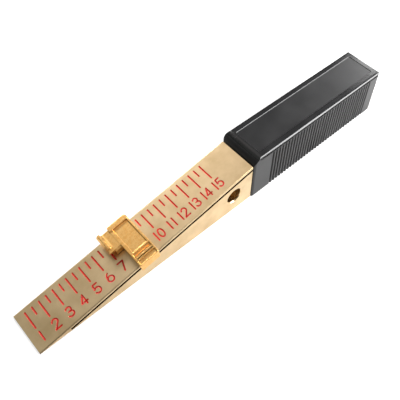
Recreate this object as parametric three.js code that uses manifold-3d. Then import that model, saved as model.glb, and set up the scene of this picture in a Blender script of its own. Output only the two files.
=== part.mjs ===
// Taper gauge: a brass wedge with a scale on its slope, a cursor that slides up and down
// the slope, and a two-part moulded handle. Millimetres, +Z up. The origin lies under the
// middle of the gauge, on the surface that it rests on, with the tip towards -X.
import * as THREE from 'three';
import { mergeVertices } from 'three/addons/utils/BufferGeometryUtils.js';
import Module from 'manifold-3d';

const wasm = await Module();
wasm.setup();

// Wedge: it gains scaleRise in thickness over scaleRun, from the first mark to the last
const bladeWidth = 16;
const bladeLength = 88;
const tipThickness = 0.38;
const scaleRise = 14;
const scaleRun = 72.1;
const edgeChamfer = 0.25;

// Guide slots in both flanks of the wedge, in line with the slope
const railHeight = 1.1;
const slotHeight = 1.0;
const slotDepth = 0.9;
const slotStart = 10.6;
const slotCutterRadius = 2.5;

// Hanging hole through the flanks
const holeDiameter = 6.2;
const holeFromHandle = 8.4;
const holeHeight = 8.1;
const holeChamfer = 0.3;

// Tang of the wedge, inside the handle
const tangLength = 40;
const tangHeight = 11;
const tangSideRoom = 1.2;
const tangEndChamfer = 1.5;

// Handle, outside
const handleLength = 70.5;
const handleProud = 0.44;
const handleDrop = 0.3;
const handleCrown = 3.03;
const browRadius = 3;
const edgeRadius = 0.6;
const soleRadius = 0.4;
const frontCornerRadius = 1.2;
const rearCornerRadius = 0.5;

// Handle, walls and parting line
const sideWall = 2.1;
const frontWall = 3;
const rearWall = 2.4;
const floorThickness = 2.5;
const coverThickness = 1.1;
const partingGap = 0.5;
const seatGap = 0.25;

// Grip ribs: upright grooves cut into both sides of the handle
const gripStart = 9.1;
const gripEnd = 5.2;
const ribPitch = 1.6;
const grooveMouth = 1.05;
const grooveFloor = 0.45;
const grooveDepth = 0.5;
const gripTopMargin = 1.2;

// Cover: sunk panel on top, locating skirt underneath
const panelFront = 4.2;
const panelRear = 2.6;
const panelSide = 2.5;
const panelDepth = 0.3;
const panelCornerRadius = 0.6;
const skirtDepth = 2.2;
const skirtWall = 1.1;

// Cradle webs beside the tang
const webThickness = 2;
const webRise = 1.5;
const webInset = 4;

// Tang screws, countersunk into the underside of the handle
const screwShank = 3;
const screwHead = 5.6;
const screwHeadHeight = 1.5;
const screwSink = 0.2;
const screwBite = 5;
const screwInset = 9;
const screwTipChamfer = 0.5;

// Cursor body: a saddle over the slope, with its index lip set on a reading
const cursorReading = 6.9;
const cursorLength = 7.7;
const cursorWall = 0.85;
const runningGap = 0.25;
const roofHeight = 2.95;
const lipHeight = 0.45;
const lipReach = 0.55;
const lipLength = 2.7;
const cursorChamfer = 0.22;
const cornerChamfer = 0.45;

// Cursor top: flange along the far side, sunk panel, falling grip steps along the near side
const flangeWidth = 2.05;
const flangeRise = 0.38;
const sunkDepth = 0.45;
const frontBorder = 1.2;
const rearBorder = 0.8;
const nearBorder = 0.65;
const shoulderWidth = 4.45;
const shoulderDrop = 0.75;
const rearRimRise = 0.15;
const rearRimWidth = 5.75;
const gripBorder = 0.55;

// Tongue of the cursor: a plate level with the roof that dips, then turns up into an index lip.
// A foot under its root runs on the wedge, and the lip overhangs it
const tongueReach = 4.52;
const tongueWidth = 8.1;
const tongueInset = 0.85;
const tongueDrop = 0.1;
const tongueDip = 0.15;
const tongueThickness = 0.75;
const indexRise = 0.6;
const indexThickness = 0.85;
const indexRamp = 0.75;
const indexBevel = 0.6;
const indexNose = 0.2;
const indexInset = 0.15;
const indexNotch = 1.3;
const footReach = 2.5;
const footStep = 0.6;
const footLap = 0.45;

// Leaf spring in its pocket under the roof of the cursor
const pocketLength = 6.1;
const pocketWidth = 5.2;
const pocketDepth = 1.1;
const springThickness = 0.25;
const springPlay = 0.3;
const springLift = 0.3;

// Cuts run past the surface by this much, joined pieces run into each other by joinOverlap
const overrun = 1.2;
const joinOverlap = 0.2;

// Worked out from the sizes above
const slopeAngle = Math.atan2(scaleRise, scaleRun);
const bladeHeight = tipThickness + bladeLength * scaleRise / scaleRun;
const halfBlade = bladeWidth / 2;
const handleFront = bladeLength + seatGap;
const handleEnd = bladeLength + handleLength;
const halfHandle = halfBlade + handleProud;
const handleSole = -handleDrop;
const handleTop = bladeHeight + handleCrown;
const coverUnderside = handleTop - coverThickness;
const shellTop = coverUnderside - partingGap;
const cavityFloor = handleSole + floorThickness;
const cavityFront = handleFront + frontWall;
const cavityRear = handleEnd - rearWall;
const halfCavity = halfHandle - sideWall;
const tangUnderside = cavityFloor + seatGap;
const tangTop = tangUnderside + tangHeight;
const tangEnd = bladeLength + tangLength;
const halfTang = halfCavity - tangSideRoom;
const screwPlaces = [cavityFront + screwInset, tangEnd - screwInset];
const screwSole = handleSole + screwSink;
const screwTip = tangUnderside + screwBite;
const halfSaddle = halfBlade + runningGap;
const halfCursor = halfSaddle + cursorWall;
const slotRoof = -railHeight;
const slotSole = slotRoof - slotHeight;
const lipRoof = (slotRoof + slotSole + lipHeight) / 2;
const lipSole = lipRoof - lipHeight;
const readingDistance = (cursorReading - tipThickness) * scaleRun / scaleRise;
const cursorPlace = readingDistance / Math.cos(slopeAngle) + tongueReach;
const tongueNear = halfCursor - tongueWidth;
const tongueFar = halfCursor - tongueInset;
const tongueRoot = roofHeight - tongueDrop;
const tongueLow = tongueRoot - tongueDip;
const tongueUnderside = tongueLow - tongueThickness;
const indexTop = tongueLow + indexRise;
const indexFront = indexBevel - tongueReach;
const indexBack = indexFront + indexThickness;
const dipEnd = indexBack + indexRamp;
const flangeInner = halfCursor - flangeWidth;
const shoulderTop = -halfCursor + shoulderWidth;

// Materials
const brass = new THREE.MeshStandardMaterial({ color: 0xb99b62, roughness: 0.42, metalness: 1 });
const gilt = new THREE.MeshStandardMaterial({ color: 0xe6b04c, roughness: 0.3, metalness: 1 });
const blackPlastic = new THREE.MeshStandardMaterial({ color: 0x2b2b2c, roughness: 0.38, metalness: 0 });
const steel = new THREE.MeshStandardMaterial({ color: 0x9a9a98, roughness: 0.35, metalness: 1 });
const springBronze = new THREE.MeshStandardMaterial({ color: 0xb87a3c, roughness: 0.35, metalness: 1 });

// A closed three.js geometry as a solid that can be joined and cut
function solidFrom(geometry) {
  const bare = geometry.clone();
  bare.deleteAttribute('normal');
  bare.deleteAttribute('uv');
  const merged = mergeVertices(bare);
  const vertProperties = Float32Array.from(merged.attributes.position.array);
  const triVerts = Uint32Array.from(merged.index.array);
  return new wasm.Manifold(new wasm.Mesh({ numProp: 3, vertProperties, triVerts }));
}

// A solid as a named mesh
function meshFrom(name, solid, material) {
  const { vertProperties, triVerts } = solid.getMesh();
  const geometry = new THREE.BufferGeometry();
  geometry.setAttribute('position', new THREE.BufferAttribute(vertProperties, 3));
  geometry.setIndex(new THREE.BufferAttribute(triVerts, 1));
  geometry.computeVertexNormals();
  const mesh = new THREE.Mesh(geometry, material);
  mesh.name = name;
  return mesh;
}

// A closed outline through corner points
function outline(points) {
  return new THREE.Shape(points.map(([across, up]) => new THREE.Vector2(across, up)));
}

// A rectangle with its own radius at each corner: low-low, high-low, high-high, low-high
function roundedRectangle(left, right, low, high, radii) {
  const [lowLeft, lowRight, highRight, highLeft] = radii;
  const shape = new THREE.Shape();
  const quarter = Math.PI / 2;
  shape.absarc(left + lowLeft, low + lowLeft, lowLeft, -2 * quarter, -quarter);
  shape.absarc(right - lowRight, low + lowRight, lowRight, -quarter, 0);
  shape.absarc(right - highRight, high - highRight, highRight, 0, quarter);
  shape.absarc(left + highLeft, high - highLeft, highLeft, quarter, 2 * quarter);
  return shape;
}

function extrude(shape, depth, curveSegments = 4) {
  return new THREE.ExtrudeGeometry(shape, { depth, bevelEnabled: false, curveSegments });
}

// A prism along X from an outline drawn in Y and Z, with small radii only
function prismAlongX(shape, from, to) {
  const turn = new THREE.Matrix4().makeBasis(
    new THREE.Vector3(0, 1, 0), new THREE.Vector3(0, 0, 1), new THREE.Vector3(1, 0, 0));
  return solidFrom(extrude(shape, to - from, 1).applyMatrix4(turn).translate(from, 0, 0));
}

// A prism along Y from an outline drawn in X and Z
function prismAlongY(shape, from, to) {
  const turn = new THREE.Matrix4().makeBasis(
    new THREE.Vector3(1, 0, 0), new THREE.Vector3(0, 0, 1), new THREE.Vector3(0, -1, 0));
  return solidFrom(extrude(shape, to - from).applyMatrix4(turn).translate(0, to, 0));
}

// A prism along Z from an outline drawn in X and Y
function prismAlongZ(shape, from, to) {
  return solidFrom(extrude(shape, to - from).translate(0, 0, from));
}

function block([left, near, low], [right, far, high]) {
  const geometry = new THREE.BoxGeometry(right - left, far - near, high - low);
  return solidFrom(geometry.translate((left + right) / 2, (near + far) / 2, (low + high) / 2));
}

// A solid turned about the upright axis from a profile of [radius, height] points
function turned(profile, [x, y]) {
  const points = profile.map(([radius, height]) => new THREE.Vector2(radius, height));
  return solidFrom(new THREE.LatheGeometry(points, 28).rotateX(Math.PI / 2).translate(x, y, 0));
}

// From the frame of the slope (along, across, above) to the frame of the wedge
function slopeMatrix() {
  const turn = new THREE.Matrix4().makeRotationY(-slopeAngle);
  return turn.premultiply(new THREE.Matrix4().makeTranslation(0, 0, tipThickness));
}

function onSlope(solid) {
  return solid.transform(slopeMatrix().elements.slice());
}

// The cutter for one guide slot: it runs in along an arc where the slotting wheel starts
function guideSlot(side) {
  const floor = halfBlade - slotDepth;
  const wheelCentre = floor + slotCutterRadius;
  const startAngle = Math.asin((wheelCentre - halfBlade) / slotCutterRadius);
  const runIn = slotCutterRadius * Math.cos(startAngle);
  const centreAlong = slotStart + runIn;
  const along = bladeLength / Math.cos(slopeAngle) + overrun;
  const shape = new THREE.Shape();
  shape.moveTo(slotStart, side * (halfBlade + overrun));
  shape.absarc(centreAlong, side * wheelCentre, slotCutterRadius,
    side * (-Math.PI + startAngle), -side * Math.PI / 2, side < 0);
  shape.lineTo(along, side * floor);
  shape.lineTo(along, side * (halfBlade + overrun));
  return onSlope(prismAlongZ(shape, slotSole, slotRoof));
}

// The cutter that takes the corner off one long top edge
function edgeCut(side) {
  const far = halfBlade + overrun;
  const near = halfBlade - edgeChamfer - overrun;
  const shape = outline([
    [side * near, overrun], [side * far, -edgeChamfer - overrun], [side * far, overrun]]);
  const end = bladeLength / Math.cos(slopeAngle) + overrun;
  return onSlope(prismAlongX(shape, -overrun, end));
}

// The hanging hole with a broken edge at both mouths
function hangingHole() {
  const radius = holeDiameter / 2;
  const [x, z] = [bladeLength - holeFromHandle, holeHeight];
  const length = bladeWidth + 2 * overrun;
  const bore = solidFrom(new THREE.CylinderGeometry(radius, radius, length, 32).translate(x, 0, z));
  const wide = radius + holeChamfer + overrun;
  const reach = holeChamfer + overrun;
  const far = new THREE.CylinderGeometry(wide, radius, reach, 32)
    .translate(x, halfBlade - holeChamfer + reach / 2, z);
  const near = new THREE.CylinderGeometry(radius, wide, reach, 32)
    .translate(x, -halfBlade + holeChamfer - reach / 2, z);
  return bore.add(solidFrom(far)).add(solidFrom(near));
}

// The tang: a bar with chamfered end corners
function tang() {
  const start = bladeLength - joinOverlap;
  const shape = outline([
    [start, -halfTang], [tangEnd - tangEndChamfer, -halfTang], [tangEnd, -halfTang + tangEndChamfer],
    [tangEnd, halfTang - tangEndChamfer], [tangEnd - tangEndChamfer, halfTang], [start, halfTang]]);
  return prismAlongZ(shape, tangUnderside, tangTop);
}

// A blind hole in the tang round one screw
function screwPilot(x) {
  const radius = screwShank / 2 + seatGap;
  const depth = screwTip + seatGap;
  return turned([[0, tangUnderside - overrun], [radius, tangUnderside - overrun], [radius, depth], [0, depth]],
    [x, 0]);
}

function wedgeBlade() {
  const side = outline([[0, 0], [bladeLength, 0], [bladeLength, bladeHeight], [0, tipThickness]]);
  let blade = prismAlongY(side, -halfBlade, halfBlade);
  for (const flank of [-1, 1]) {
    blade = blade.subtract(guideSlot(flank)).subtract(edgeCut(flank));
  }
  blade = blade.subtract(hangingHole()).add(tang());
  for (const x of screwPlaces) {
    blade = blade.subtract(screwPilot(x));
  }
  return meshFrom('wedge_blade', blade, brass);
}

// The outside of the whole handle, with its rounded brow above the wedge
function handleEnvelope() {
  const plan = roundedRectangle(handleFront, handleEnd, -halfHandle, halfHandle,
    [frontCornerRadius, rearCornerRadius, rearCornerRadius, frontCornerRadius]);
  const side = roundedRectangle(handleFront, handleEnd, handleSole, handleTop,
    [soleRadius, soleRadius, edgeRadius, browRadius]);
  const end = roundedRectangle(-halfHandle, halfHandle, handleSole, handleTop,
    [soleRadius, soleRadius, edgeRadius, edgeRadius]);
  return prismAlongZ(plan, handleSole, handleTop)
    .intersect(prismAlongY(side, -halfHandle - overrun, halfHandle + overrun))
    .intersect(prismAlongX(end, handleFront - overrun, handleEnd + overrun));
}

// Everything below or above a level
function levelBand(low, high) {
  return block([handleFront - overrun, -halfHandle - overrun, low],
    [handleEnd + overrun, halfHandle + overrun, high]);
}

// The cutters for the upright grooves between the grip ribs, on one side
function gripGrooves(side) {
  const room = handleLength - gripStart - gripEnd;
  const count = Math.floor((room - grooveMouth) / ribPitch) + 1;
  const first = handleFront + gripStart + grooveMouth / 2;
  const top = shellTop - gripTopMargin;
  const slope = (grooveMouth - grooveFloor) / 2 / grooveDepth;
  const wide = grooveMouth / 2 + overrun * slope;
  const surface = halfHandle + overrun;
  const bottom = halfHandle - grooveDepth;
  return Array.from({ length: count }, (_, index) => {
    const x = first + index * ribPitch;
    const shape = outline([
      [x - wide, side * surface], [x - grooveFloor / 2, side * bottom],
      [x + grooveFloor / 2, side * bottom], [x + wide, side * surface]]);
    return prismAlongZ(shape, handleSole - overrun, top);
  });
}

// The hole for one screw, with the seat of its head
function screwSeat(x) {
  const head = screwHead / 2 + seatGap;
  const shank = screwShank / 2 + seatGap;
  const seat = screwSole + screwHeadHeight + seatGap;
  const profile = [[0, handleSole - overrun], [head, handleSole - overrun], [head, screwSole],
    [shank, seat], [shank, cavityFloor + overrun], [0, cavityFloor + overrun]];
  return turned(profile, [x, 0]);
}

// A web across the cavity that holds the tang between its two cheeks
function cradleWeb(x) {
  const low = cavityFloor - joinOverlap;
  const cheek = halfTang + seatGap;
  const wall = halfCavity + joinOverlap;
  const high = tangTop + webRise;
  const left = block([x, -wall, low], [x + webThickness, -cheek, high]);
  const right = block([x, cheek, low], [x + webThickness, wall, high]);
  return left.add(right);
}

function handleShell() {
  let shell = handleEnvelope().intersect(levelBand(handleSole - overrun, shellTop));
  shell = shell.subtract(block([cavityFront, -halfCavity, cavityFloor],
    [cavityRear, halfCavity, shellTop + overrun]));
  shell = shell.subtract(block([handleFront - overrun, -halfTang - seatGap, tangUnderside - seatGap],
    [cavityFront + overrun, halfTang + seatGap, tangTop + seatGap]));
  for (const side of [-1, 1]) {
    for (const groove of gripGrooves(side)) {
      shell = shell.subtract(groove);
    }
  }
  for (const x of screwPlaces) {
    shell = shell.subtract(screwSeat(x));
  }
  const webPlaces = [cavityFront + webInset - webThickness, tangEnd - webInset];
  for (const x of webPlaces) {
    shell = shell.add(cradleWeb(x));
  }
  return meshFrom('handle_shell', shell, blackPlastic);
}

// The skirt that drops into the shell and locates the cover
function coverSkirt() {
  const outer = [cavityFront + seatGap, cavityRear - seatGap, halfCavity - seatGap];
  const low = coverUnderside - skirtDepth - partingGap;
  const high = coverUnderside + joinOverlap;
  const ring = block([outer[0], -outer[2], low], [outer[1], outer[2], high]);
  const inside = block(
    [outer[0] + skirtWall, -outer[2] + skirtWall, low - overrun],
    [outer[1] - skirtWall, outer[2] - skirtWall, coverUnderside]);
  return ring.subtract(inside);
}

function handleCover() {
  const half = halfHandle - panelSide;
  const radii = [panelCornerRadius, panelCornerRadius, panelCornerRadius, panelCornerRadius];
  const panel = roundedRectangle(handleFront + panelFront, handleEnd - panelRear, -half, half, radii);
  const cover = handleEnvelope()
    .intersect(levelBand(coverUnderside, handleTop + overrun))
    .subtract(prismAlongZ(panel, handleTop - panelDepth, handleTop + overrun))
    .add(coverSkirt());
  return meshFrom('handle_cover', cover, blackPlastic);
}

// The countersunk screws that hold the tang down on the floor of the handle
function tangScrews() {
  const [head, shank] = [screwHead / 2, screwShank / 2];
  const profile = [[0, screwSole], [head, screwSole], [shank, screwSole + screwHeadHeight],
    [shank, screwTip - screwTipChamfer], [shank - screwTipChamfer, screwTip], [0, screwTip]];
  const names = ['tang_screw_front', 'tang_screw_rear'];
  return screwPlaces.map((x, index) => meshFrom(names[index], turned(profile, [x, 0]), steel));
}

// The cross-section of the saddle: open below, flange on the far side, falling on the near side
function saddleSection() {
  const high = roofHeight + flangeRise;
  const nearTop = roofHeight - shoulderDrop;
  return outline([
    [halfCursor, lipSole], [halfCursor, high - cursorChamfer], [halfCursor - cursorChamfer, high],
    [flangeInner, high], [flangeInner, roofHeight], [shoulderTop, roofHeight],
    [-halfCursor + cursorChamfer, nearTop], [-halfCursor, nearTop - cursorChamfer],
    [-halfCursor, lipSole], [-halfSaddle, lipSole], [-halfSaddle, runningGap],
    [halfSaddle, runningGap], [halfSaddle, lipSole]]);
}

// The outline of the saddle seen from above, with its upright corners taken off
function saddlePlan() {
  const [front, rear] = [cursorChamfer, cornerChamfer];
  return outline([
    [0, -halfCursor + front], [front, -halfCursor], [cursorLength - rear, -halfCursor],
    [cursorLength, -halfCursor + rear], [cursorLength, halfCursor - rear],
    [cursorLength - rear, halfCursor], [front, halfCursor], [0, halfCursor - front]]);
}

// The lip on one wall that runs in the guide slot
function guideLip(side) {
  const inner = side * (halfBlade - lipReach);
  const outer = side * (halfSaddle + joinOverlap);
  return block([cursorLength - cornerChamfer - lipLength, Math.min(inner, outer), lipSole],
    [cursorLength - cornerChamfer, Math.max(inner, outer), lipRoof]);
}

// The raised half of the rear rim, over the far part of the cursor
function rearRim() {
  return block([cursorLength - rearBorder, flangeInner - rearRimWidth, roofHeight - joinOverlap],
    [cursorLength - cursorChamfer, flangeInner + joinOverlap, roofHeight + rearRimRise]);
}

// The sunk panel on top of the cursor
function sunkPanel() {
  return block([frontBorder, shoulderTop + nearBorder, roofHeight - sunkDepth],
    [cursorLength - rearBorder, flangeInner, roofHeight + flangeRise + overrun]);
}

// The grip steps: pockets between ribs on the falling shoulder, as [start, end, floor] shares
// of the shoulder's width and of the height from its foot to the roof
const gripPocketShares = [
  [0.0, 0.128, 0.42],
  [0.128, 0.315, -0.1],
  [0.434, 0.5, -0.15],
  [0.61, 0.955, -0.35],
];

function gripPocket([start, end, floor]) {
  const high = shoulderTop - start * shoulderWidth;
  const low = shoulderTop - end * shoulderWidth;
  const level = roofHeight - shoulderDrop + floor * shoulderDrop;
  return block([gripBorder, low, level],
    [cursorLength - gripBorder, high, roofHeight + overrun]);
}

// The tongue, drawn from the side: its top dips and curves up the back of the index lip
function tonguePlate() {
  const shape = new THREE.Shape();
  shape.moveTo(joinOverlap, tongueUnderside);
  shape.lineTo(joinOverlap, tongueRoot);
  shape.lineTo(0, tongueRoot);
  shape.lineTo(dipEnd, tongueLow);
  shape.absellipse(dipEnd, indexTop, indexRamp, indexRise, -Math.PI / 2, -Math.PI, true);
  shape.lineTo(indexFront, indexTop);
  shape.lineTo(indexFront, tongueUnderside);
  return prismAlongY(shape, tongueNear, tongueFar);
}

// The index lip, wider than the tongue, with a bevelled front and a notch at its near end
function indexLip() {
  const shape = outline([
    [indexBack, tongueUnderside], [indexBack, indexTop], [indexFront, indexTop],
    [-tongueReach, tongueUnderside + indexNose], [-tongueReach, tongueUnderside]]);
  return prismAlongY(shape, tongueNear, halfCursor - indexInset);
}

function indexNotchCut() {
  return block([-tongueReach - overrun, tongueNear - overrun, tongueLow],
    [dipEnd, tongueNear + indexNotch, indexTop + overrun]);
}

// The foot under the root of the tongue: it stands out a step on the near side
function tongueFoot() {
  return block([-footReach, tongueNear - footStep, runningGap],
    [joinOverlap, tongueFar, tongueUnderside + footLap]);
}

// The pocket for the leaf spring in the underside of the roof
function springPocket() {
  const start = (cursorLength - pocketLength) / 2;
  return block([start, -pocketWidth / 2, runningGap - overrun],
    [start + pocketLength, pocketWidth / 2, runningGap + pocketDepth]);
}

function cursorBody() {
  let body = prismAlongX(saddleSection(), 0, cursorLength)
    .intersect(prismAlongZ(saddlePlan(), lipSole - overrun, roofHeight + overrun));
  for (const side of [-1, 1]) {
    body = body.add(guideLip(side));
  }
  const tongue = tonguePlate().add(indexLip()).subtract(indexNotchCut()).add(tongueFoot());
  body = body.add(rearRim()).subtract(sunkPanel()).add(tongue).subtract(springPocket());
  for (const shares of gripPocketShares) {
    body = body.subtract(gripPocket(shares));
  }
  return meshFrom('cursor_body', body, gilt);
}

// A bowed strip: its ends bear on the roof of the pocket and its middle on the wedge
function cursorSpring() {
  const middle = cursorLength / 2;
  const half = pocketLength / 2 - springPlay;
  const endLevel = runningGap + pocketDepth - springPlay - springThickness;
  const crown = springLift;
  const upper = new THREE.QuadraticBezierCurve(
    new THREE.Vector2(middle + half, endLevel + springThickness),
    new THREE.Vector2(middle, 2 * crown - endLevel + springThickness),
    new THREE.Vector2(middle - half, endLevel + springThickness));
  const lower = new THREE.QuadraticBezierCurve(
    new THREE.Vector2(middle - half, endLevel),
    new THREE.Vector2(middle, 2 * crown - endLevel),
    new THREE.Vector2(middle + half, endLevel));
  const shape = new THREE.Shape([...lower.getPoints(12), ...upper.getPoints(12)]);
  const width = pocketWidth / 2 - springPlay;
  return meshFrom('cursor_spring', prismAlongY(shape, -width, width), springBronze);
}

const cursor = new THREE.Group();
cursor.add(cursorBody(), cursorSpring());
cursor.position.x = cursorPlace;

const slope = new THREE.Group();
slope.position.z = tipThickness;
slope.rotation.y = -slopeAngle;
slope.add(cursor);

const handle = new THREE.Group();
handle.add(handleShell(), handleCover(), ...tangScrews());

const gauge = new THREE.Group();
gauge.add(wedgeBlade(), handle, slope);
gauge.position.set(-handleEnd / 2, 0, handleDrop);

const model = new THREE.Group();
model.add(gauge);

export default model;
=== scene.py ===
"""Dresses a packed taper gauge: a brass wedge with an engraved scale, a gilt cursor and a ribbed handle."""

import logging
import math
from dataclasses import dataclass
from enum import Enum
from functools import cache

import bmesh
import bpy
from mathutils import Euler, Matrix, Vector


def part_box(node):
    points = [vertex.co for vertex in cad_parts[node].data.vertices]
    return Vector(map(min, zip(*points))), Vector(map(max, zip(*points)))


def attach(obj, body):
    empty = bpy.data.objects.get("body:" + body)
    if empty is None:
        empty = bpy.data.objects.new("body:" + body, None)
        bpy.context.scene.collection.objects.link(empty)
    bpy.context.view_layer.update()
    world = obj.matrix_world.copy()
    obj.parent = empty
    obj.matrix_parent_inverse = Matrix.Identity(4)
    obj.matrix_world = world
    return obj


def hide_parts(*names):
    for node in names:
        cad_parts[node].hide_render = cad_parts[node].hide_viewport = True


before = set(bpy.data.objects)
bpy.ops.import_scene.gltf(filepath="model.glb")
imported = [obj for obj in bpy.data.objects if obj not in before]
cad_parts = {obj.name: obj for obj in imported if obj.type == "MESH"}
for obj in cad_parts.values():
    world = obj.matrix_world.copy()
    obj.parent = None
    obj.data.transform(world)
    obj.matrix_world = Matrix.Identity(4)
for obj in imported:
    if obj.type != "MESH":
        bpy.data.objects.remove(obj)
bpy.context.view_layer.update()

LOG = logging.getLogger("taper_gauge")

# The pieces are modelled in millimetres from the wedge's tip and underside, and end in metres
METRES = 0.001
# Nearly all values of a noise pattern lie between these two
NOISE_REACH = (0.3, 0.7)
# Edges that turn by more than this many degrees stay sharp to the light
SHARP_ANGLE = 35
# The faces across a rounded edge
EDGE_STEPS = 2

Triple = tuple[float, float, float]
Pair = tuple[float, float]
Outline = list[Pair]
Faces = list[tuple[int, ...]]
Piece = bpy.types.Object
Node = bpy.types.Node
Socket = bpy.types.NodeSocket
Tree = bpy.types.NodeTree


class Axis(Enum):
    """The direction in which an outline is drawn out."""

    ALONG = 0
    ACROSS = 1
    UP = 2


class Side(Enum):
    """The two flanks of the gauge, seen with the tip at the left."""

    NEAR = -1
    FAR = 1


class Join(Enum):
    """How one closed mesh is combined with another."""

    ADD = "UNION"
    CUT = "DIFFERENCE"
    TRIM = "INTERSECT"


def linear_colour(code: str) -> tuple[float, float, float, float]:
    """Turns an sRGB hex colour into linear values.

    Args:
        code: The colour as "#RRGGBB".

    Returns:
        Linear red, green, blue and an alpha of 1.
    """
    parts = [int(code[place:place + 2], 16) / 255 for place in (1, 3, 5)]
    knee, foot, lift, power = 0.04045, 12.92, 0.055, 2.4
    linear = [part / foot if part <= knee else ((part + lift) / (1 + lift)) ** power for part in parts]
    return (*linear, 1.0)


def add_node(tree: Tree, kind: str, settings: dict | None = None, links: dict | None = None) -> Node:
    """Adds a shader node with its settings and its incoming links.

    Args:
        tree: The node tree that takes the node.
        kind: Blender's name for the kind of node.
        settings: Values for the node's inputs, by name or number, or for its own properties.
        links: Output sockets to join to the node's inputs, by name or number.

    Returns:
        The new node.
    """
    node = tree.nodes.new(kind)
    for key, value in (settings or {}).items():
        if isinstance(key, int) or key in node.inputs:
            node.inputs[key].default_value = value
        else:
            setattr(node, key, value)
    for key, socket in (links or {}).items():
        tree.links.new(socket, node.inputs[key])
    return node


def blank_material(name: str) -> tuple[bpy.types.Material, Tree, Node]:
    """Makes a material that holds only its output.

    Args:
        name: The material's name.

    Returns:
        The material, its node tree and its output node.
    """
    material = bpy.data.materials.new(name)
    material.use_nodes = True
    tree = material.node_tree
    tree.nodes.clear()
    return material, tree, add_node(tree, "ShaderNodeOutputMaterial")


def pattern_place(tree: Tree, size_mm: Triple) -> Socket:
    """Gives object coordinates divided by the real size of one feature of a pattern.

    Args:
        tree: The node tree of the material.
        size_mm: The feature's size along, across and up, in millimetres.

    Returns:
        The socket with the scaled coordinates.
    """
    place = add_node(tree, "ShaderNodeTexCoord")
    scale = tuple(1 / (part * METRES) for part in size_mm)
    mapping = add_node(tree, "ShaderNodeMapping", {"Scale": scale}, {"Vector": place.outputs["Object"]})
    return mapping.outputs["Vector"]


@dataclass(frozen=True)
class Pattern:
    """An irregular pattern: the real size of one feature, its finer levels and their strength."""

    size_mm: Triple
    detail: float = 2.0
    breakup: float = 0.5


@dataclass(frozen=True)
class Finish:
    """What all finishes share: two colours mixed by a pattern, a roughness that may swing, and a relief."""

    name: str
    colours: tuple[str, str]
    tint: Pattern
    roughness: float
    # The values of the tint's pattern at which the first and the second colour stand
    tint_stops: Pair = (0.0, 1.0)
    gloss: Pattern | None = None
    roughness_swing: float = 0.0
    relief: Pattern | None = None
    relief_mm: float = 0.0
    relief_share: float = 0.3
    metallic: float = 1.0
    # A metal keeps the shader's own value
    ior: float | None = None

    def stained(self, tree: Tree, colour: Socket) -> Socket:
        """Paints shade into the colour where the finish needs it: most finishes leave it as it is."""
        return colour

    @cache
    def build(self) -> bpy.types.Material:
        """Makes the material, once for each finish.

        Returns:
            The material.
        """
        material, tree, output = blank_material(self.name)
        noises = {}
        for pattern in dict.fromkeys((self.tint, self.gloss, self.relief)):
            if pattern:
                noise = add_node(tree, "ShaderNodeTexNoise",
                                 {"Scale": 1.0, "Detail": pattern.detail, "Roughness": pattern.breakup},
                                 {"Vector": pattern_place(tree, pattern.size_mm)})
                noises[pattern] = noise.outputs["Fac"]
        tint = add_node(tree, "ShaderNodeValToRGB", links={"Fac": noises[self.tint]})
        for stop, position, colour in zip(tint.color_ramp.elements, self.tint_stops, self.colours):
            stop.position = position
            stop.color = linear_colour(colour)
        values = {"Metallic": self.metallic, "Roughness": self.roughness}
        links = {"Base Color": self.stained(tree, tint.outputs["Color"])}
        if self.ior:
            values["IOR"] = self.ior
        if self.gloss:
            gloss = add_node(tree, "ShaderNodeMapRange", {
                "From Min": NOISE_REACH[0], "From Max": NOISE_REACH[1],
                "To Min": self.roughness - self.roughness_swing,
                "To Max": self.roughness + self.roughness_swing}, {"Value": noises[self.gloss]})
            links["Roughness"] = gloss.outputs["Result"]
        if self.relief:
            bump = add_node(tree, "ShaderNodeBump",
                            {"Strength": self.relief_share, "Distance": self.relief_mm * METRES},
                            {"Height": noises[self.relief]})
            links["Normal"] = bump.outputs["Normal"]
        shader = add_node(tree, "ShaderNodeBsdfPrincipled", values, links)
        tree.links.new(shader.outputs["BSDF"], output.inputs["Surface"])
        return material


@dataclass(frozen=True)
class GroundBrass(Finish):
    """Brass ground with fine grit along the wedge: a soft, streaky sheen, dulled a little by handling."""

    name: str = "ground_brass"
    colours: tuple[str, str] = ("#D0B58A", "#E6CCA2")
    tint: Pattern = Pattern((9.0, 9.0, 9.0), 4.0, 0.55)
    tint_stops: Pair = (0.3, 0.62)
    # Grit leaves scratches about 0.02 mm wide: they are drawn 0.16 mm wide, so that they show
    gloss: Pattern = Pattern((7.0, 0.16, 0.16), 3.0, 0.6)
    roughness: float = 0.34
    roughness_swing: float = 0.06
    relief: Pattern = gloss
    relief_mm: float = 0.006
    relief_share: float = 0.35


@dataclass(frozen=True)
class SawnBrass(Finish):
    """Brass in the saw-cut slots, rough and dark with painted shade: it draws a black line on each flank."""

    name: str = "slot_painted_shade_brass"
    # Painted shade: these dark colours stand in for the shade inside the slots
    colours: tuple[str, str] = ("#1C1103", "#3A2408")
    tint: Pattern = Pattern((1.5, 0.2, 0.2))
    roughness: float = 0.6


@dataclass(frozen=True)
class MarkEnamel(Finish):
    """Red enamel wiped into the engraving: a soft gloss, a shade paler where it lies thin."""

    name: str = "mark_enamel"
    colours: tuple[str, str] = ("#CC2018", "#E04438")
    tint: Pattern = Pattern((0.7, 0.7, 0.7))
    tint_stops: Pair = (0.35, 0.75)
    roughness: float = 0.34
    relief: Pattern = tint
    relief_mm: float = 0.02
    metallic: float = 0.0
    ior: float = 1.5


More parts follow.
